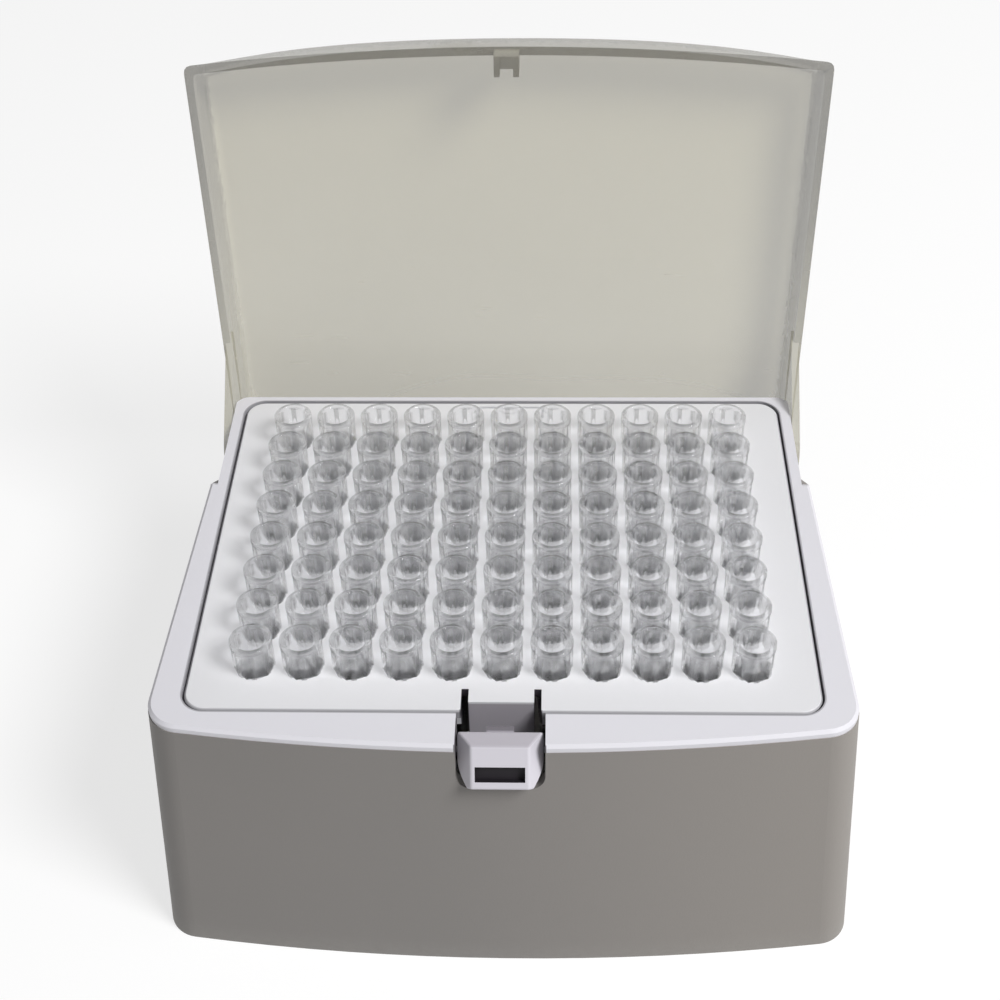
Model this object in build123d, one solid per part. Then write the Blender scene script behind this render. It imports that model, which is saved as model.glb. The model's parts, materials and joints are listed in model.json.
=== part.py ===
"""A hinged box of pipette tips, standing open, in millimetres with +Z up.

X runs across the box, Y from the latch at the front to the hinge at the back.
The origin is on the underside, below the middle of the block of tips.
"""
from build123d import *
from math import cos, hypot, pi, radians, sin, tan
import os

# ---------- driving dimensions ----------
# tips: the spacing is the one that multichannel pipettes use
PITCH = 9.0
COLUMNS = 11
ROWS = 8
TIP_LENGTH = 51.0
TIP_COLLAR = 7.0            # length that stands above the tray
TIP_MOUTH_R = 3.9
TIP_COLLAR_R = 3.55         # collar where it sits on the tray
TIP_NECK_R = 3.1            # body just below the tray
TIP_END_R = 0.9
TIP_BORE_MOUTH_R = 2.8
TIP_BORE_END_R = 0.35
TIP_SIDES = 6               # flats that stand for the round wall
TIP_HOLE_GAP = 0.15

# tip tray
TRAY_SIDE = 11.85           # from the centres of the outer tips to the tray's edge
TRAY_FRONT = 10.5
TRAY_BACK = 12.8
TRAY = 2.0
TRAY_EDGE = 0.4
TRAY_CORNER_R = 4.0
TRAY_SEAM = 0.4             # gap all round the tray
TRAY_RIM = 5.0
TRAY_RIM_WALL = 1.4
TONGUE_HALF = 7.15          # to the outside of the slots beside it
TONGUE_SLOT_FRONT = 1.3
TONGUE_SLOT_BACK = 0.6
TONGUE_STEP = 2.0           # how far the tongue stops short of the tray's edge
TONGUE_LENGTH = 3.1
TONGUE_LIP = 1.5
TONGUE_LIP_DEPTH = 7.0

# body, seen from above: wider at the front, with a bowed front
DECK_Z = 60.0
DECK_SIDE_FRONT = 6.4       # deck outside the tray, at the front corners
DECK_SIDE_BACK = 3.3
DECK_FRONT = 3.25
DECK_BACK = 2.4
BOW = 4.8                   # how far the middle of the front stands out
SPREAD_SIDE = 4.2           # the walls spread towards the foot
SPREAD_FRONT = 4.15
CORNER_R_FRONT = 6.5
CORNER_R_BACK = 3.5

# walls and fits of the body
WALL = 2.0
FLOOR = 2.0
FIT = 0.3                   # gap between a moulded piece and its seat
WALL_LIP = 1.0              # the wall is thinner at the top, where the frame sits
WALL_LIP_HEIGHT = 3.4
FRAME_PLATE = 1.6           # part of the top frame that covers the wall
FRAME_SKIRT = 1.8
FRAME_SKIRT_BELOW = 2.0     # below the room for the ears
FRAME_LEDGE = 2.5
FRAME_EDGE = 0.6
SMALL_R = 0.5               # least inside corner

# lid, described closed and then swung open
HINGE_FROM_BACK = 7.0
HINGE_BELOW_DECK = 8.0
OPEN_ANGLE = 98.0
LID_GAP = 0.3               # between the closed rim and the deck
LID_INSET = 0.2             # sides of the lid inside the deck's, at the front
LID_OUTSET = 1.4            # and outside it at the hinge
LID_BACK_INSET = 0.5
LID_FRONT_INSET = 4.9
LID_WALL = 1.6
LID_DEPTH = 10.8
LID_DRAFT = 2.0
LID_EDGE_R = 3.5
LID_CORNER_R = 5.0
EAR_R = 6.5
EAR = 1.6
EAR_INSET = 0.15            # from the outside of the lid's wall
EAR_REACH = 22.5            # how far in front of the hinge the ear begins
EAR_SWING_R = 11.0          # room for the ear in the side of the body
STOP_BELOW_HINGE = 7.2      # top of the body's back corners, where the lid stops
PEG_R = 2.5
PEG_LENGTH = 2.8
PEG_GAP = 0.06
CHEEK = 2.8

# catch on the lid
CATCH_HALF = 2.4
CATCH_INSET = 0.3           # from the outside of the lid's front wall
CATCH_DEPTH = 4.0
CATCH_WALL = 1.1
CATCH_FRONT_WALL = 2.4
CATCH_DROP = 4.6            # below the lid's rim
CATCH_RISE = 5.0            # above it

# latch
LATCH_HALF = 7.6
LATCH_FROM_FRONT = 3.8      # back of the latch, from the front of the deck
LATCH_TOP_GAP = 0.4
LATCH_TOP_DEPTH = 3.4
LATCH_FACE_DROP = 7.4
LATCH_FACE_RUN = 3.6
LATCH_CHIN = 1.2            # height below the face, and how far it turns under
LATCH_FOOT_R = 3.2
LATCH_WALL = 1.5
LATCH_FLANK = 2.6
LATCH_DIP = 1.9             # how far the foot of the latch moves down when pressed
LATCH_PIVOT_BEHIND = 1.05   # behind the back of the latch
LATCH_PIVOT_BELOW = 5.5     # below the deck
LATCH_SLOT_HALF = 4.6
LATCH_SLOT_HEIGHT = 2.6
LATCH_SLOT_UP = 1.25        # from the foot of the face
TRUNNION_R = 1.3
LATCH_LUG_R = 2.2
TRUNNION_LENGTH = 1.5
LATCH_CHEEK = 1.9

# ---------- worked out ----------
TRAY_HALF = PITCH * (COLUMNS - 1) / 2 + TRAY_SIDE
TRAY_FRONT_Y = -PITCH * (ROWS - 1) / 2 - TRAY_FRONT
TRAY_BACK_Y = PITCH * (ROWS - 1) / 2 + TRAY_BACK
DECK_HALF_FRONT = TRAY_HALF + DECK_SIDE_FRONT
DECK_HALF_BACK = TRAY_HALF + DECK_SIDE_BACK
CORNER_Y = TRAY_FRONT_Y - DECK_FRONT
FRONT_Y = CORNER_Y - BOW
BACK_Y = TRAY_BACK_Y + DECK_BACK
HINGE_Y = BACK_Y - HINGE_FROM_BACK
HINGE_Z = DECK_Z - HINGE_BELOW_DECK
STOP_Z = HINGE_Z - STOP_BELOW_HINGE
SHELL_TOP = DECK_Z - FRAME_PLATE
TRAY_Z = DECK_Z - TRAY
LEDGE_Z = TRAY_Z - TRAY
FRAME_SKIRT_Z = HINGE_Z - EAR_SWING_R - FRAME_SKIRT_BELOW
LID_HALF_BACK = DECK_HALF_BACK + LID_OUTSET
EAR_IN = LID_HALF_BACK - EAR_INSET - EAR
CHEEK_OUT = EAR_IN - FIT
BACK_EDGE_R = max(
    hypot(BACK_Y - HINGE_Y, DECK_Z - FRAME_EDGE - HINGE_Z),
    hypot(BACK_Y - FRAME_EDGE - HINGE_Y, DECK_Z - HINGE_Z),
)
LID_BACK_Y = BACK_Y - LID_BACK_INSET
LID_RIM = DECK_Z + LID_GAP
LATCH_BACK_Y = FRONT_Y + LATCH_FROM_FRONT
LATCH_TOP_Z = DECK_Z - LATCH_TOP_GAP
LATCH_FOOT_Z = LATCH_TOP_Z - LATCH_FACE_DROP
LATCH_LOW_Z = LATCH_FOOT_Z - LATCH_CHIN
LATCH_PIVOT_Y = LATCH_BACK_Y + LATCH_PIVOT_BEHIND
LATCH_PIVOT_Z = DECK_Z - LATCH_PIVOT_BELOW
NOTCH_HALF = LATCH_HALF + FIT
CATCH_Y = FRONT_Y + LID_FRONT_INSET + CATCH_INSET
TIP_TURN = 90 / TIP_SIDES   # no corner of a tip points at its neighbour
OVER = 1.0                  # how far a cut runs past what it cuts
FAR = 200.0                 # longer than anything in the box


def spread(at_foot, z):
    """How far a wall that spreads towards the foot stands out at height z."""
    return at_foot * (1 - z / DECK_Z)


def deck_half(y):
    """Half the width of the deck at y."""
    share = (y - CORNER_Y) / (BACK_Y - CORNER_Y)
    return DECK_HALF_FRONT + (DECK_HALF_BACK - DECK_HALF_FRONT) * share


def outline(half_front, half_back, y_front, y_back, z):
    """Four-sided plan with a bowed front, at height z."""
    left, right = (-half_front, y_front), (half_front, y_front)
    arc = ThreePointArc(left, (0, y_front - BOW), right)
    sides = Polyline(right, (half_back, y_back), (-half_back, y_back), left)
    return Pos(0, 0, z) * make_face(arc + sides)


def round_corners(solid, r_front, r_back):
    """Round the four upright edges of a solid that has this plan."""
    upright = solid.edges().filter_by(lambda edge: edge.bounding_box().size.Z > edge.length / 2)
    solid = fillet(upright.sort_by(Axis.Y)[:2], r_front)
    upright = solid.edges().filter_by(lambda edge: edge.bounding_box().size.Z > edge.length / 2)
    return fillet(upright.sort_by(Axis.Y)[-2:], r_back)


def body_plan(z, inset):
    """Plan of the body's outside at height z, moved in by inset."""
    return outline(
        DECK_HALF_FRONT + spread(SPREAD_SIDE, z) - inset,
        DECK_HALF_BACK + spread(SPREAD_SIDE, z) - inset,
        CORNER_Y - spread(SPREAD_FRONT, z) + inset,
        BACK_Y - inset,
        z,
    )


def body_slice(low, high, inset=0.0):
    """The part of the body between two heights, moved in by inset."""
    solid = loft([body_plan(low, inset), body_plan(high, inset)], ruled=True)
    return round_corners(solid, CORNER_R_FRONT - inset, CORNER_R_BACK - inset)


def prism(plan_z, inset, low, high):
    """An upright block with the body's plan at plan_z."""
    plan = Pos(0, 0, low - plan_z) * body_plan(plan_z, inset)
    solid = extrude(plan, high - low)
    return round_corners(solid, CORNER_R_FRONT - inset, max(CORNER_R_BACK - inset, SMALL_R))


def tray_block(grow, low, high):
    """A rounded block over the tray's place, larger by grow on each side."""
    depth = TRAY_BACK_Y - TRAY_FRONT_Y + 2 * grow
    plan = RectangleRounded(2 * (TRAY_HALF + grow), depth, max(TRAY_CORNER_R + grow, SMALL_R))
    return extrude(Pos(0, (TRAY_FRONT_Y + TRAY_BACK_Y) / 2, low) * plan, high - low)


def block(x0, x1, y0, y1, z0, z1):
    """A box between two corners."""
    middle = Pos((x0 + x1) / 2, (y0 + y1) / 2, (z0 + z1) / 2)
    return middle * Box(x1 - x0, y1 - y0, z1 - z0)


def across(profile, x0, x1):
    """Extrude a profile drawn in Y and Z from x0 to x1."""
    return extrude(Plane.YZ.offset(x0) * profile, x1 - x0)


def both_sides(solid):
    """A piece and its mirror image across the middle of the box."""
    return solid + mirror(solid, Plane.YZ)


def tip_places():
    """Centres of the tips, column by column."""
    xs = [(i - (COLUMNS - 1) / 2) * PITCH for i in range(COLUMNS)]
    ys = [(j - (ROWS - 1) / 2) * PITCH for j in range(ROWS)]
    return [[(x, y) for y in ys] for x in xs]


# ---------- hinge and latch zones, shared by the shell and its frame ----------
def swing_profile():
    """Side view of the room for the lid's ears, open above and behind."""
    top, behind, ahead = DECK_Z + OVER, BACK_Y + OVER, HINGE_Y - EAR_REACH - OVER
    front_half = Rectangle(EAR_SWING_R, 2 * EAR_SWING_R, align=(Align.MAX, Align.CENTER))
    bowl = Pos(HINGE_Y, HINGE_Z) * (Circle(EAR_SWING_R) & front_half)
    slope = make_face(Polyline(
        (ahead, top), (HINGE_Y - EAR_SWING_R, HINGE_Z), (HINGE_Y, HINGE_Z - EAR_SWING_R),
        (BACK_Y, STOP_Z), (behind, STOP_Z), (behind, top), close=True,
    ))
    return bowl + slope


def swung(y, z):
    """Where a point of the closed lid is when the lid stands open."""
    point = Vector(0, y - HINGE_Y, z - HINGE_Z).rotate(Axis.X, -OPEN_ANGLE)
    return point.Y + HINGE_Y, point.Z + HINGE_Z


def open_lid_room():
    """Room for the back edge of the open lid, which clears a drum of the deck between its ears."""
    y, z = swung(LID_BACK_Y, LID_RIM)
    room = block(-FAR, FAR, y - FIT, FAR, z - FIT, HINGE_Z)
    return room - Pos(0, HINGE_Y, HINGE_Z) * Rot(0, 90, 0) * Cylinder(BACK_EDGE_R, 2 * EAR_IN)


def latch_view(half, low):
    """Front view of the latch, or of its opening, rounded at the foot and open above."""
    align = (Align.CENTER, Align.MIN)
    return Pos(0, low) * RectangleRounded(2 * half, FAR, LATCH_FOOT_R, align=align)


def latch_gap(back_y, low):
    """Opening for the latch in the front of the body."""
    return extrude(Plane.XZ.offset(-back_y) * latch_view(NOTCH_HALF, low), FAR)


# ---------- pieces ----------
def base_shell():
    """Grey outer shell with its floor, open at the top."""
    shell = body_slice(0, SHELL_TOP) - body_slice(FLOOR, SHELL_TOP, WALL)
    shell -= body_slice(SHELL_TOP - WALL_LIP_HEIGHT, SHELL_TOP, WALL_LIP)
    shell -= both_sides(across(swing_profile(), CHEEK_OUT - CHEEK, FAR)) + open_lid_room()
    return shell - latch_gap(TRAY_FRONT_Y, LATCH_LOW_Z - LATCH_DIP)


def hinge_cheek():
    """Panel in the frame that fills the shell's side recess, and its bore for the peg."""
    cheek = across(offset(swing_profile(), -FIT), CHEEK_OUT - CHEEK, CHEEK_OUT)
    bore = Pos(CHEEK_OUT - CHEEK / 2, HINGE_Y, HINGE_Z) * Rot(0, 90, 0)
    return cheek, bore * Cylinder(PEG_R + PEG_GAP, 2 * CHEEK)


def latch_cheek():
    """Wall in the frame, and its bore, for the latch's right-hand trunnion."""
    low = LATCH_PIVOT_Z - TRUNNION_R - LATCH_WALL
    y1 = TRAY_FRONT_Y - TRAY_SEAM
    cheek = block(NOTCH_HALF, NOTCH_HALF + LATCH_CHEEK, FRONT_Y, y1, low, TRAY_Z)
    bore = Pos(NOTCH_HALF, LATCH_PIVOT_Y, LATCH_PIVOT_Z) * Rot(0, 90, 0)
    return cheek, bore * Cylinder(TRUNNION_R + PEG_GAP, 2 * (LATCH_CHEEK + OVER))


def deck_frame():
    """White top frame: deck, seat of the tray, hinge cheeks and latch cheeks."""
    plate = prism(DECK_Z, 0, SHELL_TOP, DECK_Z)
    plate = chamfer(plate.edges().group_by(Axis.Z)[-1], FRAME_EDGE)
    shoulder_z = SHELL_TOP - WALL_LIP_HEIGHT + FIT
    shoulder = prism(DECK_Z, WALL_LIP + FIT, shoulder_z, SHELL_TOP)
    plug = prism(DECK_Z, WALL + FIT, FRAME_SKIRT_Z, SHELL_TOP)
    hollow = prism(DECK_Z, WALL + FIT + FRAME_SKIRT, FRAME_SKIRT_Z, LEDGE_Z)
    cheek, bore = hinge_cheek()
    latch_wall, latch_bore = latch_cheek()
    frame = plate + shoulder + plug - hollow + (both_sides(latch_wall) & plug)
    frame += both_sides(cheek) & prism(DECK_Z, 0, FRAME_SKIRT_Z, SHELL_TOP)
    frame -= tray_block(TRAY_SEAM, TRAY_Z, DECK_Z + OVER)
    frame -= tray_block(-FRAME_LEDGE, LEDGE_Z - OVER, TRAY_Z)
    frame -= both_sides(across(swing_profile(), CHEEK_OUT, FAR))
    frame -= latch_gap(TRAY_FRONT_Y + FRAME_LEDGE + OVER, 0)
    frame -= open_lid_room()
    frame -= block(-TONGUE_HALF, TONGUE_HALF, TRAY_BACK_Y - FRAME_LEDGE - OVER,
                   TRAY_BACK_Y - TONGUE_STEP + FIT, TRAY_Z - TONGUE_LIP_DEPTH - FIT, TRAY_Z)
    return frame - both_sides(bore) - both_sides(latch_bore)


def tongue(edge_y, inward, slot, behind):
    """Cut round one snap tongue of the tray, and the lip that hangs from it."""
    end_y = edge_y + inward * TONGUE_STEP
    low, high = TRAY_Z - TONGUE_LIP_DEPTH, DECK_Z
    half = TONGUE_HALF - slot
    y0, y1 = sorted((end_y - inward * behind, end_y + inward * TONGUE_LENGTH))
    around = block(-TONGUE_HALF, TONGUE_HALF, y0, y1, low, high)
    y0, y1 = sorted((end_y, end_y + inward * (TONGUE_LENGTH + OVER)))
    cut = around - block(-half, half, y0, y1, low, high)
    y0, y1 = sorted((end_y, end_y + inward * TONGUE_LIP))
    return cut, block(-half, half, y0, y1, low, TRAY_Z)


def tip_tray():
    """White plate with a hole for each tip, a stiff rim and two snap tongues."""
    tray = tray_block(0, TRAY_Z, DECK_Z)
    tray = chamfer(tray.edges().group_by(Axis.Z)[-1], TRAY_EDGE)
    rim_out = -FRAME_LEDGE - FIT
    tray += tray_block(rim_out, TRAY_Z - TRAY_RIM, TRAY_Z)
    tray -= tray_block(rim_out - TRAY_RIM_WALL, TRAY_Z - TRAY_RIM, TRAY_Z)
    radius = TIP_NECK_R + TIP_HOLE_GAP
    hole = RegularPolygon(radius, TIP_SIDES, major_radius=False, rotation=TIP_TURN)
    places = [Pos(x, y) for column in tip_places() for x, y in column]
    holes = extrude(Sketch() + [place * hole for place in places], TRAY)
    for place in (
        (TRAY_FRONT_Y, 1, TONGUE_SLOT_FRONT, TONGUE_STEP + OVER),
        (TRAY_BACK_Y, -1, TONGUE_SLOT_BACK, TONGUE_SLOT_BACK),
    ):
        cut, lip = tongue(*place)
        tray = tray - cut + lip
    return tray - Pos(0, 0, TRAY_Z) * holes


def corner(number, radius, z):
    """One corner of a many-sided section whose flats lie at the radius."""
    angle = 2 * pi * number / TIP_SIDES + radians(TIP_TURN)
    reach = radius / cos(pi / TIP_SIDES)
    return (reach * cos(angle), reach * sin(angle), z)


def tip():
    """One clear tip, hanging by its collar from the top of the tray."""
    end, mouth = DECK_Z + TIP_COLLAR - TIP_LENGTH, DECK_Z + TIP_COLLAR
    rings = [
        (TIP_END_R, end), (TIP_NECK_R, DECK_Z), (TIP_COLLAR_R, DECK_Z),
        (TIP_MOUTH_R, mouth), (TIP_BORE_MOUTH_R, mouth), (TIP_BORE_END_R, end),
    ]
    faces = []
    for number in range(TIP_SIDES):
        for low, high in zip(rings, rings[1:] + rings[:1]):
            corners = [corner(number, *low), corner(number + 1, *low),
                       corner(number + 1, *high), corner(number, *high)]
            faces.append(make_face(Polyline(*corners, close=True)))
    return Solid(Shell(faces))


def lid_plan(inset):
    """Plan of the closed lid at its rim, moved in by inset."""
    y_front = CORNER_Y + LID_FRONT_INSET
    return outline(
        deck_half(y_front) - LID_INSET - inset,
        LID_HALF_BACK - inset,
        y_front + inset,
        LID_BACK_Y - inset,
        LID_RIM,
    )


def lid_cup(inset, height):
    """A drafted block with rounded edges, standing on the closed lid's rim."""
    shrink = height * tan(radians(LID_DRAFT))
    cup = loft([lid_plan(inset), Pos(0, 0, height) * lid_plan(inset + shrink)], ruled=True)
    cup = round_corners(cup, LID_CORNER_R - inset, LID_CORNER_R - inset)
    return fillet(cup.edges().group_by(Axis.Z)[-1], LID_EDGE_R - inset)


def lid_ear():
    """Right-hand ear with the peg that turns in the frame."""
    y0, y1 = HINGE_Y - EAR_REACH, LID_BACK_Y - LID_WALL
    ring = Pos(HINGE_Y, HINGE_Z) * Circle(EAR_R)
    edge = Line((y0, LID_RIM + LID_WALL), (y1, LID_RIM + LID_WALL))
    profile = make_hull(ring.edges() + edge.edges())
    ear = across(profile, EAR_IN, EAR_IN + EAR)
    peg = Pos(EAR_IN - PEG_LENGTH / 2, HINGE_Y, HINGE_Z) * Rot(0, 90, 0)
    return ear + peg * Cylinder(PEG_R, PEG_LENGTH)


def lid_catch():
    """Channel-shaped catch on the middle of the lid's front wall."""
    low, high = LID_RIM - CATCH_DROP, LID_RIM + CATCH_RISE
    post = block(-CATCH_HALF, CATCH_HALF, CATCH_Y, CATCH_Y + CATCH_DEPTH, low, high)
    inner = CATCH_HALF - CATCH_WALL
    return post - block(-inner, inner, CATCH_Y + CATCH_FRONT_WALL, CATCH_Y + CATCH_DEPTH,
                        low, high)


def lid():
    """Clear lid, modelled closed and swung back to its stop."""
    closed = lid_cup(0, LID_DEPTH)
    closed -= lid_cup(LID_WALL, LID_DEPTH - LID_WALL)
    drum = Pos(0, HINGE_Y, HINGE_Z) * Rot(0, 90, 0) * Cylinder(BACK_EDGE_R + FIT, 2 * EAR_IN)
    closed -= drum
    closed += both_sides(lid_ear()) + lid_catch()
    return closed.rotate(Axis((0, HINGE_Y, HINGE_Z), (1, 0, 0)), -OPEN_ANGLE)


def latch_profile():
    """Side view of the latch."""
    face_y = LATCH_BACK_Y - LATCH_TOP_DEPTH
    foot_y = face_y - LATCH_FACE_RUN
    return make_face(Polyline(
        (LATCH_BACK_Y, LATCH_TOP_Z), (face_y, LATCH_TOP_Z), (foot_y, LATCH_FOOT_Z),
        (foot_y + LATCH_CHIN, LATCH_LOW_Z), (LATCH_BACK_Y, LATCH_LOW_Z), close=True,
    ))


def latch():
    """White front latch: hollow body, slot, nose, and a lug with a trunnion each side."""
    body = across(latch_profile(), -LATCH_HALF, LATCH_HALF)
    face = body.faces().sort_by(Axis.Y)[0]
    body = chamfer(face.edges().filter_by(Plane.YZ), LATCH_FLANK)
    body &= extrude(Plane.XZ * latch_view(LATCH_HALF, LATCH_LOW_Z), FAR)
    inner_half = LATCH_HALF - LATCH_FLANK
    inside = offset(latch_profile(), -LATCH_WALL, kind=Kind.INTERSECTION)
    hollow = across(inside, -inner_half, inner_half)
    body -= hollow + Pos(0, 2 * LATCH_WALL, 0) * hollow
    slot_low = LATCH_FOOT_Z + LATCH_SLOT_UP
    body -= block(-LATCH_SLOT_HALF, LATCH_SLOT_HALF, -FAR, LATCH_BACK_Y - LATCH_WALL,
                  slot_low, slot_low + LATCH_SLOT_HEIGHT)
    nose = block(-CATCH_HALF, CATCH_HALF, LATCH_BACK_Y, CATCH_Y - FIT,
                 LATCH_TOP_Z - LATCH_WALL, LATCH_TOP_Z)
    lug = block(inner_half, LATCH_HALF, LATCH_BACK_Y - LATCH_WALL, LATCH_PIVOT_Y,
                LATCH_PIVOT_Z - LATCH_LUG_R, LATCH_PIVOT_Z + LATCH_LUG_R)
    pivot = Pos(0, LATCH_PIVOT_Y, LATCH_PIVOT_Z) * Rot(0, 90, 0)
    lug += pivot * Pos(0, 0, LATCH_HALF - LATCH_FLANK / 2) * Cylinder(LATCH_LUG_R, LATCH_FLANK)
    lug += pivot * Pos(0, 0, LATCH_HALF) * Cylinder(TRUNNION_R, 2 * TRUNNION_LENGTH)
    return body + nose + both_sides(lug)


def main():
    os.makedirs("parts", exist_ok=True)
    pieces = {
        "base_shell": base_shell(),
        "deck_frame": deck_frame(),
        "tip_tray": tip_tray(),
        "lid": lid(),
        "latch": latch(),
    }
    one_tip = tip()
    for number, column in enumerate(tip_places(), start=1):
        tips = [Pos(x, y, 0) * one_tip for x, y in column]
        pieces[f"tip_column_{number:02d}"] = Compound(children=tips)
    for name, piece in pieces.items():
        export_step(piece, f"parts/{name}.step")


main()
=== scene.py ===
"""Finishes, round tips, light and camera for the box of pipette tips."""
import json
from functools import cached_property
from math import atan2, cos, pi, radians, sin, sqrt

import bmesh
import bpy
from mathutils import Matrix, Vector


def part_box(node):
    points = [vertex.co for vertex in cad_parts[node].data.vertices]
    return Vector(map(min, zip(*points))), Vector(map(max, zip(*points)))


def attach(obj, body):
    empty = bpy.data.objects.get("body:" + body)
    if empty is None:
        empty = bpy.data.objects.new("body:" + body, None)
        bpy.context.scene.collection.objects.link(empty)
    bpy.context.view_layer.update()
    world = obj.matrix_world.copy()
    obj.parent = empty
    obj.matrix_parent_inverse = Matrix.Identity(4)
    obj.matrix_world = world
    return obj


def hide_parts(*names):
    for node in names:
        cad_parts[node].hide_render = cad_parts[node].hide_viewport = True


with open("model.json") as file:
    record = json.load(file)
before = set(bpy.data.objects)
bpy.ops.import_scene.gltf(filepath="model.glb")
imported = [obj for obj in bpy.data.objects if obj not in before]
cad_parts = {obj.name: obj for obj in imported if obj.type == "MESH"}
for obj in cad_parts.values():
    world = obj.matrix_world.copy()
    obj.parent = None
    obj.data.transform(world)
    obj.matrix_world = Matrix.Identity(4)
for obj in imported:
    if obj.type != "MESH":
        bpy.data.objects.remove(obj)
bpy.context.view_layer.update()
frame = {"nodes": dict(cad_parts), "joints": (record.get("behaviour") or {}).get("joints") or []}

MM = 0.001


def in_millimetres(place):
    """A place of the frame in millimetres, to a thousandth."""
    return [round(value / MM, 3) for value in place]


def joint_of(body):
    """The joint that moves a body."""
    return next(joint for joint in frame["joints"] if joint["child"] == body)


# ---------- tips, in millimetres; their places come from the frame ----------
ROWS = 8
PITCH = 9.0
TIP_SEGMENTS = 24
TIP_OUTSIDE = [             # radius, and height above the seat, from the end to the mouth
    (0.90, -44.0), (1.55, -32.0), (3.05, -2.2), (3.10, 0.0), (3.55, 0.02), (3.55, 5.7),
    (3.88, 5.95), (3.88, 6.85), (3.75, 7.0),
]
TIP_INSIDE = [(2.95, 7.0), (2.80, 6.8), (2.55, 0.0), (2.30, -8.0), (1.15, -32.0), (0.40, -44.0)]
RIB_LOW, RIB_HIGH = 0.1, 5.7
RIB_FROM_R = 3.3            # only the collar's outer wall has ribs
RIB_STEP = 3                # every third face of that wall is a rib
RIB_HEIGHT = 0.22

# ---------- tray and deck ----------
TRAY_LOW, TRAY_HIGH = (in_millimetres(corner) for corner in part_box("tip_tray"))
TRAY_HALF, TRAY_BACK, DECK_TOP = TRAY_HIGH
TRAY_FRONT = TRAY_LOW[1]
TRAY_CORNER = 4.0
SEAM = 0.4
SEAM_SHADE_HALF = 0.45            # half the width of the painted shade along the seam
POCKET_HALF = 7.3           # pocket above the latch, with painted shade on its tongue
POCKET_REACH = 3.0          # how far it runs in from the tray's front edge
POCKET_BELOW_DECK = 0.5
SLIT_FROM = 5.85            # slits on both sides of the tongue, painted dark as shade
SLIT_REACH = 5.3

# ---------- front latch; its outside and its pivot come from the frame ----------
LATCH_LOW, LATCH_HIGH = (in_millimetres(corner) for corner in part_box("latch"))
PIVOT = in_millimetres(joint_of("latch")["pos_m"])[1:]
TRUNNION_R, TRUNNION = 1.3, 1.5
LUG_R, LUG = 2.2, 2.6
LATCH_HALF = LATCH_HIGH[0] - TRUNNION
LATCH_NOSE, LATCH_FOOT = LATCH_LOW[1:]
LATCH_TOP = LATCH_HIGH[2]
LATCH_PIVOT_BEHIND = 1.05
LATCH_TOP_DEPTH = 3.4
LATCH_FACE_DROP = 7.4
LATCH_BACK = PIVOT[0] - LATCH_PIVOT_BEHIND
LATCH_BROW = LATCH_BACK - LATCH_TOP_DEPTH           # front edge of its top
LATCH_FACE_FOOT = LATCH_TOP - LATCH_FACE_DROP       # where the face ends and the chin begins
LATCH_FACE = Vector((0, LATCH_FACE_FOOT - LATCH_TOP, LATCH_BROW - LATCH_NOSE)).normalized()
LATCH_CHIN = (0, -1, -1)
IN_PLANE = 0.999                        # share of the normal along the face
LATCH_FLANK, LATCH_FLANK_TURN = 2.5, 0.75
LATCH_FOOT_R = 3.2
LATCH_EDGE_R = 0.35
SHARP_EDGE = radians(25)
LEAST_EDGE = 0.01                       # shorter edges that the rounding leaves are closed
SLOT_HALF, SLOT_UP, SLOT_HEIGHT, SLOT_DEPTH = 4.4, 1.25, 2.6, 1.6
SLOT_LOW = LATCH_FACE_FOOT + SLOT_UP
SLOT_HIGH = SLOT_LOW + SLOT_HEIGHT
HOOK_HALF, HOOK, HOOK_THICK = 2.4, 1.1, 1.5
NOTCH_MARGIN = 0.45                     # out to the deck's walls beside the latch, which get painted shade
NOTCH_REACH = 1.0                       # past the tray's front edge

# ---------- front corners of the lid, seen on the closed lid ----------
LID_ARC_MIDDLE = (57.82, -36.07)
LID_ARC_R = 5.0
LID_ARC_HALF_ANGLE = radians(41)
LID_ARC_BISECTOR = radians(-40.1)
LID_CORNER_R = 1.6                      # the tighter corner
LID_WALL = 1.6
LID_HALF = 62.8
LID_DEPTH = 10.8
LID_LEAN_FROM = -10.0                   # ahead of here the wall begins to lean
LID_LEAN_MIDDLE, LID_LEAN_CORNER, LID_LESS_BOW = 0.8, 3.0, 1.4
LID_RIM = 2.0                           # height of the edge that has the rim's painted shade
LID_STEEP = 0.8                         # a wall's normal has a smaller upward share
# material places of the wall's and the rim's painted shade
LID_WALL_PAINTED_SHADE, LID_RIM_PAINTED_SHADE = 1, 2
CATCH_ROOM = 10.0                       # half the width in which the catch may hang lower
DOUBLES = 0.002

# ---------- camera in millimetres and degrees, room and lamp in metres and watts ----------
CAMERA_PLACE = (8.8, -224.9, 277.3)
CAMERA_YAW = -2.49
CAMERA_DOWN = 42.37
CAMERA_ROLL = -1.52
CAMERA_LENS = 57.6
CAMERA_SENSOR = 36
ROOM_STRENGTH = 0.25
KEY_PLACE = (0.75, -0.52, 1.15)
KEY_SIZE = 0.55
KEY_WATTS = 19.0
FLOOR_R = 6.0
FLOOR_GLOW = 0.72


# ---------- shader nodes ----------
class Value:
    """A shader socket that takes part in plain arithmetic."""

    def __init__(self, finish, socket):
        self.finish = finish
        self.socket = socket

    def math(self, operation, first, second):
        """A sum, product or the like of two values."""
        return self.finish.node("ShaderNodeMath", {"operation": operation}, {0: first, 1: second})

    def __add__(self, other):
        return self.math("ADD", self, other)

    def __sub__(self, other):
        return self.math("SUBTRACT", self, other)

    def __mul__(self, other):
        return self.math("MULTIPLY", self, other)

    def __rsub__(self, other):
        return self.math("SUBTRACT", other, self)

    def __abs__(self):
        return self.math("ABSOLUTE", self, 0.0)

    __radd__ = __add__
    __rmul__ = __mul__


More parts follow.
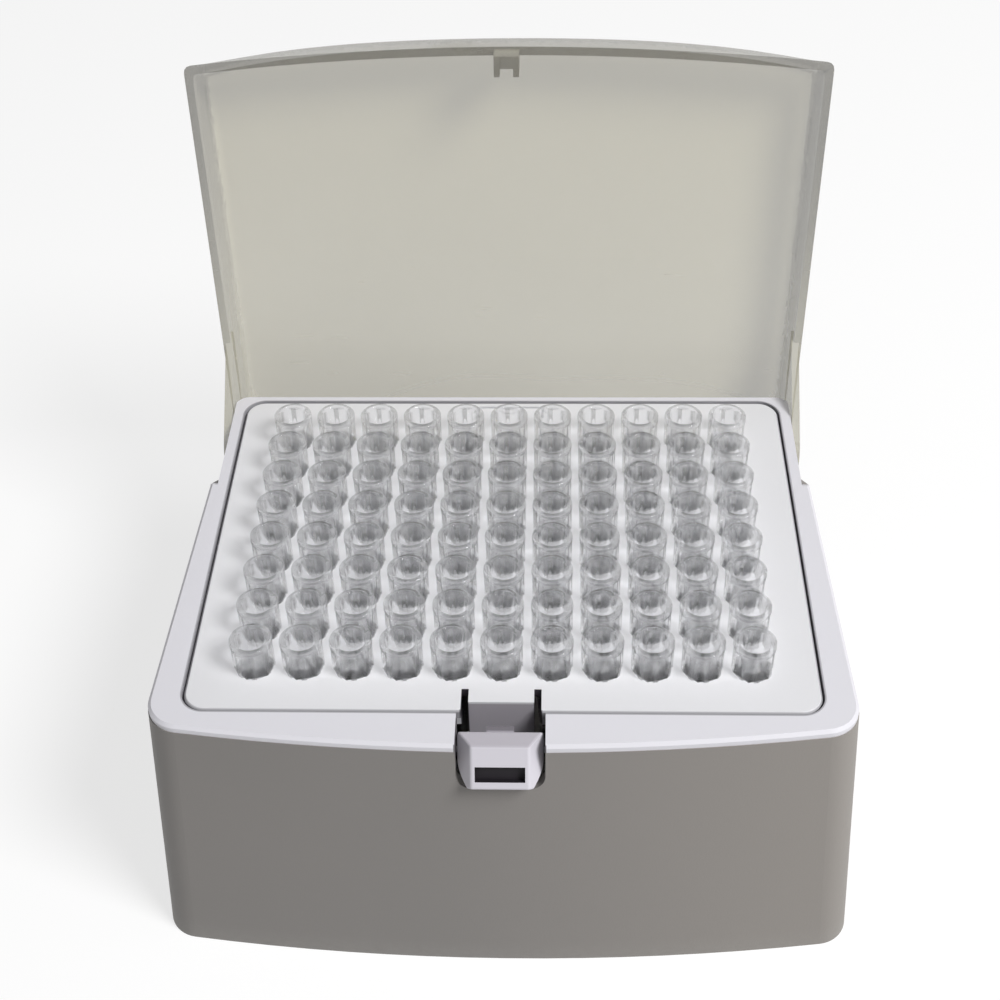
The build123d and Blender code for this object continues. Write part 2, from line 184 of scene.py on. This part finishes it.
class Finish:
    """The nodes of one material, or of the room."""

    def __init__(self, owner):
        self.owner = owner
        owner.use_nodes = True
        self.tree = owner.node_tree
        self.tree.nodes.clear()

    def node(self, kind, settings=None, inputs=None, output=0):
        """Adds a node: its settings first, then the values or links of its sockets."""
        made = self.tree.nodes.new(kind)
        for name, setting in (settings or {}).items():
            setattr(made, name, setting)
        for name, value in (inputs or {}).items():
            if isinstance(value, Value):
                self.tree.links.new(value.socket, made.inputs[name])
            else:
                made.inputs[name].default_value = value
        return None if output is None else Value(self, made.outputs[output])

    @cached_property
    def place(self):
        """Object coordinates."""
        return self.node("ShaderNodeTexCoord", output="Object")

    def coordinate(self, axis):
        """One coordinate of the point, in metres."""
        return self.node("ShaderNodeSeparateXYZ", inputs={"Vector": self.place}, output=axis)

    def stretched(self, factors):
        """Object coordinates scaled along each axis."""
        return self.node("ShaderNodeMapping", inputs={"Vector": self.place, "Scale": factors})

    def vector(self, operation, first, second=(0.0, 0.0, 0.0), output="Vector"):
        """Vector maths on two vectors."""
        return self.node("ShaderNodeVectorMath", {"operation": operation}, {0: first, 1: second}, output)

    def noise(self, scale, detail=2.0, roughness=0.5, where=None):
        """Grey noise about 0.5, with features of about 1 / scale metres."""
        inputs = {"Vector": where or self.place, "Scale": scale, "Detail": detail, "Roughness": roughness}
        return self.node("ShaderNodeTexNoise", inputs=inputs, output="Fac")

    def above(self, value, low, high):
        """0 below low, 1 above high and smooth between, for a length; the limits are in millimetres."""
        inputs = {"Value": value, "From Min": low * MM, "From Max": high * MM}
        return self.node("ShaderNodeMapRange", {"interpolation_type": "SMOOTHSTEP"}, inputs)

    def below(self, value, limit, soft=0.05):
        """1 below a limit, 0 above it, in millimetres."""
        return 1 - self.above(value, limit - soft, limit + soft)

    def seam_line(self):
        """1 along the seam between tray and deck, 0 away from it."""
        middle = (TRAY_FRONT + TRAY_BACK) / 2 * MM
        half_x = (TRAY_HALF - TRAY_CORNER) * MM
        half_y = ((TRAY_BACK - TRAY_FRONT) / 2 - TRAY_CORNER) * MM
        flat = self.vector("MULTIPLY", self.place, (1.0, 1.0, 0.0))
        folded = self.vector("ABSOLUTE", self.vector("SUBTRACT", flat, (0.0, middle, 0.0)))
        past = self.vector("MAXIMUM", self.vector("SUBTRACT", folded, (half_x, half_y, 0.0)))
        away = self.vector("LENGTH", past, output="Value") - (TRAY_CORNER + SEAM / 2) * MM
        return self.below(abs(away), SEAM_SHADE_HALF, soft=0.12)

    def mix(self, factor, first, second):
        """A colour between two colours; a colour mix has them in its sockets 6 and 7."""
        return self.node("ShaderNodeMix", {"data_type": "RGBA"}, {0: factor, 6: first, 7: second}, output=2)

    def bump(self, height, strength, distance):
        """A normal from a height that is about 0 to 1."""
        inputs = {"Height": height, "Strength": strength, "Distance": distance}
        return self.node("ShaderNodeBump", inputs=inputs)

    def surface(self, **sockets):
        """Ends the material in one principled shader."""
        shader = self.node("ShaderNodeBsdfPrincipled", inputs=sockets)
        self.node("ShaderNodeOutputMaterial", inputs={"Surface": shader}, output=None)
        return self.owner

    def seen(self):
        """1 for what the camera sees directly, in a reflection or through clear plastic."""
        rays = ("Is Camera Ray", "Is Glossy Ray", "Is Transmission Ray")
        straight, mirrored, through = (self.node("ShaderNodeLightPath", output=ray) for ray in rays)
        return straight + mirrored + through


def new_finish(name):
    """The nodes of a new material."""
    return Finish(bpy.data.materials.new(name))


def rgb(red, green, blue):
    """A screen colour from 0 to 255 as a linear colour."""
    def linear(value):
        value /= 255
        return value / 12.92 if value <= 0.04045 else ((value + 0.055) / 1.055) ** 2.4
    return (linear(red), linear(green), linear(blue), 1.0)


# ---------- finishes ----------
def grey_shell_finish():
    """Matt grey moulding with a fine spark-eroded grain, scuffed at the foot, and painted light that makes
    it lighter towards the right side.
    """
    finish = new_finish("grey_shell")
    grain = finish.noise(2600, detail=3, roughness=0.6)
    cloud = finish.noise(22)
    speck = finish.noise(700, detail=1)
    foot = 1 - finish.above(finish.coordinate("Z"), 0, 6)
    # painted light: the shell is painted lighter towards the right, where the lamp stands
    side = finish.above(finish.coordinate("X"), -20, 70)
    tone = finish.mix(cloud, rgb(132, 129, 126), rgb(138, 134, 131))
    tone = finish.mix(side, tone, rgb(146, 141, 136))
    tone = finish.mix(foot * 0.35 * speck, tone, rgb(158, 156, 152))
    return finish.surface(**{
        "Base Color": tone,
        "Roughness": 0.52 + 0.12 * grain,
        "IOR": 1.46,
        "Normal": finish.bump(grain, 0.35, 0.00008),
    })


def white_finish(name, low, high, shine, marks):
    """White moulding with a faint flow pattern and soft gloss, and darker places of painted shade from its
    marks.
    """
    finish = new_finish(name)
    grain = finish.noise(1500)
    flow = finish.noise(30, detail=3, where=finish.stretched((0.4, 1.0, 1.0)))
    return finish.surface(**{
        "Base Color": marks(finish, finish.mix(flow, low, high)),
        "Roughness": shine + 0.10 * grain,
        "IOR": 1.48,
        "Normal": finish.bump(grain, 0.15, 0.00004),
    })


def seam_painted_shade(finish, tone):
    """Painted shade: a grey band along the seam round the tray."""
    return finish.mix(finish.seam_line() * 0.75, tone, rgb(138, 137, 142))


def tray_painted_shade(finish, tone):
    """Painted shade: grey along the seam, grey on the tongue in the pocket above the latch, and dark in the
    slits beside it.
    """
    across, along, up = (finish.coordinate(axis) for axis in "XYZ")
    inside = finish.below(abs(across), POCKET_HALF)
    low = finish.below(up, DECK_TOP - POCKET_BELOW_DECK, soft=0.1)
    front = finish.below(along, TRAY_FRONT + POCKET_REACH, soft=0.1)
    # painted shade on the tongue in the pocket above the latch
    tone = finish.mix(inside * low * front, seam_painted_shade(finish, tone), rgb(180, 176, 183))
    # painted shade in the slits beside the tongue
    beside = finish.above(abs(across), SLIT_FROM - 0.1, SLIT_FROM)
    sunk = finish.below(up, DECK_TOP - 0.1)
    end = finish.below(along, TRAY_FRONT + SLIT_REACH, soft=0.1)
    return finish.mix(inside * end * beside * sunk, tone, rgb(70, 66, 72))


def deck_painted_shade(finish, tone):
    """Painted shade: grey along the seam, and grey on the walls round the latch."""
    across, along, up = (finish.coordinate(axis) for axis in "XYZ")
    inside = finish.below(abs(across), LATCH_HALF + NOTCH_MARGIN)
    low = finish.below(up, DECK_TOP - 0.15)
    front = finish.below(along, TRAY_FRONT + NOTCH_REACH, soft=0.1)
    # painted shade on the deck's walls beside the latch
    return finish.mix(inside * low * front, seam_painted_shade(finish, tone), rgb(112, 110, 115))


def latch_painted_shade(finish, tone):
    """Painted shade: the latch's upper side and the hook behind it are painted greyer than its face."""
    top = finish.above(finish.coordinate("Z"), LATCH_TOP - 0.25, LATCH_TOP - 0.1)
    hook = finish.above(finish.coordinate("Y"), LATCH_BACK + 0.05, LATCH_BACK + 0.15)
    # painted shade on the upper side, then on the hook
    tone = finish.mix(top, tone, rgb(188, 184, 192))
    return finish.mix(hook, tone, rgb(116, 112, 119))


def painted_slot_shade():
    """Near-black painted shade inside the latch's shallow slot, where a deep hole would be dark."""
    finish = new_finish("slot_painted_shade")
    dust = finish.noise(900)
    return finish.surface(**{
        "Base Color": finish.mix(dust, rgb(24, 20, 26), rgb(32, 28, 34)),
        "Roughness": 0.55 + 0.1 * dust,
        "IOR": 1.46,
    })


def lid_finish(name, low, high, cover):
    """Smoky see-through plastic with a soft haze and fine rubbing marks, and painted light that makes it
    paler towards the hinge.
    """
    finish = new_finish(name)
    cloud = finish.noise(14)
    marks = finish.noise(900, detail=3, where=finish.stretched((0.08, 1.0, 1.0)))
    # painted light: paler towards the hinge, where the box shades the lid's lower part
    painted_light_near_hinge = finish.below(finish.coordinate("Z"), 85, soft=35) * 0.6
    return finish.surface(**{
        "Base Color": finish.mix(painted_light_near_hinge, finish.mix(cloud, low, high), rgb(206, 202, 180)),
        "Roughness": 0.20 + 0.10 * marks,
        "IOR": 1.45,
        "Alpha": cover,
        "Normal": finish.bump(marks, 0.02, 0.00002),
    })


def tip_finish():
    """Clear plastic of the tips."""
    finish = new_finish("clear_tip")
    flow = finish.noise(400, where=finish.stretched((1.0, 1.0, 0.15)))
    return finish.surface(**{
        "Base Color": finish.mix(flow, rgb(240, 241, 243), rgb(250, 250, 251)),
        "Roughness": 0.04 + 0.06 * flow,
        "IOR": 1.45,
        "Transmission Weight": 1.0,
        "Alpha": 0.45,
        "Normal": finish.bump(flow, 0.10, 0.00005),
    })


def dress(node, material):
    """Gives a node of the frame its finish."""
    piece = frame["nodes"][node]
    piece.data.materials.clear()
    piece.data.materials.append(material)


# ---------- pieces ----------
def linked(name, data):
    """A new object in the scene."""
    made = bpy.data.objects.new(name, data)
    bpy.context.collection.objects.link(made)
    return made


def mesh_of(name, shape, materials=()):
    """Turns a bmesh into a mesh."""
    mesh = bpy.data.meshes.new(name)
    shape.to_mesh(mesh)
    shape.free()
    for material in materials:
        mesh.materials.append(material)
    return mesh


def stand_in(name, mesh, node, body):
    """Shows a mesh in place of a node of the frame, on the same body."""
    piece = linked(name, mesh)
    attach(piece, body)
    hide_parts(node)


def spun(profile, segments):
    """A closed profile of radius and height, spun round the upright axis."""
    shape = bmesh.new()
    points = [shape.verts.new((radius * MM, 0, height * MM)) for radius, height in profile]
    edges = [shape.edges.new(pair) for pair in zip(points, points[1:] + points[:1])]
    bmesh.ops.spin(shape, geom=points + edges, cent=(0, 0, 0), axis=(0, 0, 1), angle=2 * pi,
                   steps=segments, use_merge=True)
    bmesh.ops.recalc_face_normals(shape, faces=shape.faces)
    return shape


def one_tip():
    """A clear tip at the origin, its seat at height 0, with ribs round the collar."""
    shape = spun(TIP_OUTSIDE + TIP_INSIDE, TIP_SEGMENTS)
    wall = []
    for face in shape.faces:
        middle = face.calc_center_median() / MM
        if RIB_LOW < middle.z < RIB_HIGH and middle.xy.length > RIB_FROM_R:
            wall.append((middle.xy.angle_signed(Vector((1, 0))), face))
    wall.sort(key=lambda pair: pair[0])
    ribs = [face for angle, face in wall[::RIB_STEP]]
    grown = bmesh.ops.extrude_discrete_faces(shape, faces=ribs)["faces"]
    for face in grown:
        bmesh.ops.translate(shape, verts=face.verts, vec=face.normal * RIB_HEIGHT * MM)
    return mesh_of("one_tip", shape)


def tip_columns():
    """Eight round tips in place of each column of the frame."""
    material = tip_finish()
    tip = one_tip()
    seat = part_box("tip_tray")[1][2]
    for node in sorted(name for name in frame["nodes"] if name.startswith("tip_column")):
        low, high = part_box(node)
        middle = Vector(((low[0] + high[0]) / 2, (low[1] + high[1]) / 2, seat))
        column = bmesh.new()
        for row in range(ROWS):
            before = len(column.verts)
            column.from_mesh(tip)
            column.verts.ensure_lookup_table()
            offset = Vector((0, (row - (ROWS - 1) / 2) * PITCH * MM, 0))
            bmesh.ops.translate(column, verts=column.verts[before:], vec=middle + offset)
        name = node.replace("column", "row_of_eight")
        mesh = mesh_of(name, column, [material])
        mesh.shade_smooth()
        stand_in(name, mesh, node, "base")
    bpy.data.meshes.remove(tip)


def sharpened(x, y):
    """Moves a point of the closed lid outwards to a tighter front corner."""
    side = 1 if x > 0 else -1
    from_middle = Vector((abs(x) - LID_ARC_MIDDLE[0], y - LID_ARC_MIDDLE[1]))
    angle = abs(atan2(from_middle.y, from_middle.x) - LID_ARC_BISECTOR)
    if angle > LID_ARC_HALF_ANGLE:
        return x, y
    tight = (LID_ARC_R - LID_CORNER_R) / cos(LID_ARC_HALF_ANGLE)
    turn = atan2(LID_CORNER_R * sin(LID_ARC_HALF_ANGLE), tight + LID_CORNER_R * cos(LID_ARC_HALF_ANGLE))
    if angle > turn:
        edge = LID_ARC_R / cos(LID_ARC_HALF_ANGLE - angle)
    else:
        edge = tight * cos(angle) + sqrt(LID_CORNER_R ** 2 - (tight * sin(angle)) ** 2)
    share = min(1.0, from_middle.length / (LID_ARC_R - LID_WALL))
    moved = from_middle * (1 + (edge / LID_ARC_R - 1) * share)
    return side * (moved.x + LID_ARC_MIDDLE[0]), moved.y + LID_ARC_MIDDLE[1]


def leaned(x, y, height):
    """Moves a point of the closed lid's front wall: less bow, and more lean at the corners."""
    front = min(1.0, max(0.0, (LID_LEAN_FROM - y) / (LID_LEAN_FROM - LID_ARC_MIDDLE[1])))
    share = abs(x) / LID_HALF
    lean = LID_LEAN_MIDDLE + LID_LEAN_CORNER * share ** 4
    return y + front * (max(0.0, height) / LID_DEPTH * lean - LID_LESS_BOW * share ** 2)


def clear_lid():
    """The lid with tighter front corners, a leaning front wall, and walls and rim in darker copies of its
    plastic as painted shade.
    """
    hinge = joint_of("lid")
    shut = Matrix.Rotation(radians(hinge["range_deg"][1]), 3, "X")
    shape = bmesh.new()
    shape.from_mesh(frame["nodes"]["lid"].data)
    bmesh.ops.remove_doubles(shape, verts=shape.verts, dist=DOUBLES * MM)
    bmesh.ops.rotate(shape, verts=shape.verts, cent=hinge["pos_m"], matrix=shut)
    rim = min(point.co.z for point in shape.verts if point.co.y < LID_ARC_MIDDLE[1] * MM
              and abs(point.co.x) > CATCH_ROOM * MM)
    for point in shape.verts:
        x, y = sharpened(point.co.x / MM, point.co.y / MM)
        point.co.x, point.co.y = x * MM, leaned(x, y, (point.co.z - rim) / MM) * MM
    shape.normal_update()
    for face in shape.faces:
        if abs(face.normal.z) < LID_STEEP:
            face.material_index = LID_WALL_PAINTED_SHADE
        elif face.normal.z < 0 and face.calc_center_median().z < rim + LID_RIM * MM:
            face.material_index = LID_RIM_PAINTED_SHADE
    bmesh.ops.rotate(shape, verts=shape.verts, cent=hinge["pos_m"], matrix=shut.inverted())
    # the wall and rim materials are darker copies of the plastic: painted shade
    mesh = mesh_of("clear_lid", shape, [
        lid_finish("smoky_lid", rgb(178, 172, 143), rgb(184, 178, 150), 0.42),
        lid_finish("lid_wall_painted_shade", rgb(142, 138, 122), rgb(150, 146, 130), 0.50),
        lid_finish("lid_rim_painted_shade", rgb(104, 101, 90), rgb(112, 108, 97), 0.60),
    ])
    stand_in("clear_lid", mesh, "lid", "lid")


def block(shape, middle, size):
    """A box with its middle at a place, added to a shape."""
    matrix = Matrix.LocRotScale(Vector(middle) * MM, None, Vector(size) * MM)
    bmesh.ops.create_cube(shape, size=1.0, matrix=matrix)


def bar(shape, place, radius, length):
    """A round bar along the width, added to a shape."""
    matrix = Matrix.Translation(Vector(place) * MM) @ Matrix.Rotation(pi / 2, 4, "Y")
    bmesh.ops.create_cone(shape, cap_ends=True, segments=32, radius1=radius * MM, radius2=radius * MM,
                          depth=length * MM, matrix=matrix)


def cut(shape, point, outward):
    """Cuts a closed shape off at a plane and closes it again."""
    everything = shape.verts[:] + shape.edges[:] + shape.faces[:]
    made = bmesh.ops.bisect_plane(shape, geom=everything, plane_co=Vector(point) * MM, plane_no=outward,
                                  clear_outer=True)["geom_cut"]
    rim = [item for item in made if isinstance(item, bmesh.types.BMEdge)]
    bmesh.ops.edgeloop_fill(shape, edges=rim)


def latch_body():
    """Block with a rounded foot, a sloping face, a chin, two flanks and soft edges."""
    shape = bmesh.new()
    middle = (0, (LATCH_BACK + LATCH_NOSE) / 2, (LATCH_TOP + LATCH_FOOT) / 2)
    block(shape, middle, (2 * LATCH_HALF, LATCH_BACK - LATCH_NOSE, LATCH_TOP - LATCH_FOOT))
    foot = [edge for edge in shape.edges
            if all(end.co.z < middle[2] * MM for end in edge.verts)
            and edge.verts[0].co.x == edge.verts[1].co.x]
    bmesh.ops.bevel(shape, geom=foot, offset=LATCH_FOOT_R * MM, segments=8, profile=0.5,
                    affect="EDGES", material=-1)
    cut(shape, (0, LATCH_BROW, LATCH_TOP), LATCH_FACE)
    cut(shape, (0, LATCH_NOSE, LATCH_FACE_FOOT), LATCH_CHIN)
    for side in (-1, 1):
        flank = LATCH_FACE * LATCH_FLANK_TURN + Vector((side, 0, 0))
        cut(shape, (side * (LATCH_HALF - LATCH_FLANK), LATCH_BROW, LATCH_TOP), flank)
    sharp = [edge for edge in shape.edges if edge.calc_face_angle(0) > SHARP_EDGE]
    bmesh.ops.bevel(shape, geom=sharp, offset=LATCH_EDGE_R * MM, segments=3, profile=0.5,
                    affect="EDGES", clamp_overlap=True, material=-1)
    bmesh.ops.dissolve_degenerate(shape, dist=LEAST_EDGE * MM, edges=shape.edges)
    return shape


def sloping(shape):
    """The parts of the latch's sloping face."""
    return [face for face in shape.faces if face.normal.dot(LATCH_FACE) > IN_PLANE]


def sink_slot(shape):
    """Cuts the slot's outline into the sloping face and pushes it in, with the second material, the slot's
    painted shade.
    """
    for point, along in (
        ((SLOT_HALF, 0, 0), (1, 0, 0)), ((-SLOT_HALF, 0, 0), (1, 0, 0)),
        ((0, 0, SLOT_LOW), (0, 0, 1)), ((0, 0, SLOT_HIGH), (0, 0, 1)),
    ):
        faces = sloping(shape)
        edges = dict.fromkeys(edge for face in faces for edge in face.edges)
        ends = dict.fromkeys(end for face in faces for end in face.verts)
        bmesh.ops.bisect_plane(shape, geom=[*faces, *edges, *ends], plane_co=Vector(point) * MM,
                               plane_no=along)
    slot = []
    for face in sloping(shape):
        place = face.calc_center_median() / MM
        if abs(place.x) < SLOT_HALF and SLOT_LOW < place.z < SLOT_HIGH:
            slot.append(face)
    sunk = bmesh.ops.extrude_face_region(shape, geom=slot)["geom"]
    bmesh.ops.delete(shape, geom=slot, context="FACES")
    ends = [item for item in sunk if isinstance(item, bmesh.types.BMVert)]
    bmesh.ops.translate(shape, verts=ends, vec=LATCH_FACE * -SLOT_DEPTH * MM)
    for end in ends:
        for face in end.link_faces:
            face.material_index = 1


def front_latch():
    """The push latch: its body with the slot, the hook behind, the lugs and the trunnions."""
    shape = latch_body()
    sink_slot(shape)
    block(shape, (0, LATCH_BACK + HOOK / 2, LATCH_TOP - HOOK_THICK / 2), (2 * HOOK_HALF, HOOK, HOOK_THICK))
    for side in (-1, 1):
        bar(shape, (side * (LATCH_HALF - LUG / 2), *PIVOT), LUG_R, LUG)
        bar(shape, (side * (LATCH_HALF + TRUNNION / 2), *PIVOT), TRUNNION_R, TRUNNION)
    finish = white_finish("white_latch", rgb(211, 208, 216), rgb(215, 212, 220), 0.30, latch_painted_shade)
    mesh = mesh_of("front_latch", shape, [finish, painted_slot_shade()])
    stand_in("front_latch", mesh, "latch", "latch")


# ---------- floor, light and camera ----------
def pale_stage():
    """Pale floor that shows white to the camera and keeps the shadow."""
    shape = bmesh.new()
    bmesh.ops.create_circle(shape, cap_ends=True, radius=FLOOR_R, segments=64)
    finish = new_finish("pale_floor")
    cloud = finish.mix(finish.noise(6), rgb(150, 150, 150), rgb(152, 152, 152))
    glow = finish.node("ShaderNodeEmission", inputs={"Color": (1, 1, 1, 1), "Strength": FLOOR_GLOW})
    pale = finish.node("ShaderNodeBsdfDiffuse", inputs={"Color": cloud})
    lit = finish.node("ShaderNodeAddShader", inputs={0: glow, 1: pale})
    plain = finish.node("ShaderNodeBsdfDiffuse", inputs={"Color": rgb(225, 225, 225)})
    which = finish.node("ShaderNodeMixShader", inputs={0: finish.seen(), 1: plain, 2: lit})
    finish.node("ShaderNodeOutputMaterial", inputs={"Surface": which}, output=None)
    linked("floor", mesh_of("floor", shape, [finish.owner]))


def soft_room():
    """Soft light all round, from a room that looks pale to the camera."""
    world = bpy.data.worlds.new("room")
    bpy.context.scene.world = world
    room = Finish(world)
    soft = room.node("ShaderNodeBackground", inputs={"Strength": ROOM_STRENGTH})
    pale = room.node("ShaderNodeBackground", inputs={"Strength": 1.0})
    which = room.node("ShaderNodeMixShader", inputs={0: room.seen(), 1: soft, 2: pale})
    room.node("ShaderNodeOutputWorld", inputs={"Surface": which}, output=None)


def key_lamp():
    """One large lamp from the front right, turned to the box."""
    lamp = bpy.data.lights.new("key", "AREA")
    lamp.shape = "DISK"
    lamp.size = KEY_SIZE
    lamp.energy = KEY_WATTS
    place = Vector(KEY_PLACE)
    turn = place.to_track_quat("Z", "Y").to_matrix().to_4x4()
    linked("key", lamp).matrix_world = Matrix.Translation(place) @ turn


def camera():
    """Camera in front of the box, looking down into it."""
    view = bpy.data.cameras.new("camera")
    view.lens = CAMERA_LENS
    view.sensor_width = CAMERA_SENSOR
    view.clip_start, view.clip_end = 0.01, 30
    turn = Matrix.Rotation(radians(-CAMERA_YAW), 4, "Z")
    tilt = Matrix.Rotation(radians(90 - CAMERA_DOWN), 4, "X")
    roll = Matrix.Rotation(radians(CAMERA_ROLL), 4, "Z")
    seen_from = linked("camera", view)
    seen_from.matrix_world = Matrix.Translation(Vector(CAMERA_PLACE) * MM) @ turn @ tilt @ roll
    bpy.context.scene.camera = seen_from


camera()
soft_room()
key_lamp()
pale_stage()
dress("base_shell", grey_shell_finish())
dress("deck_frame", white_finish("white_deck", rgb(223, 222, 228), rgb(228, 227, 233), 0.38, deck_painted_shade))
dress("tip_tray", white_finish("white_tray", rgb(226, 226, 229), rgb(231, 231, 234), 0.40, tray_painted_shade))
front_latch()
clear_lid()
tip_columns()

bpy.context.scene.view_settings.view_transform = "Standard"
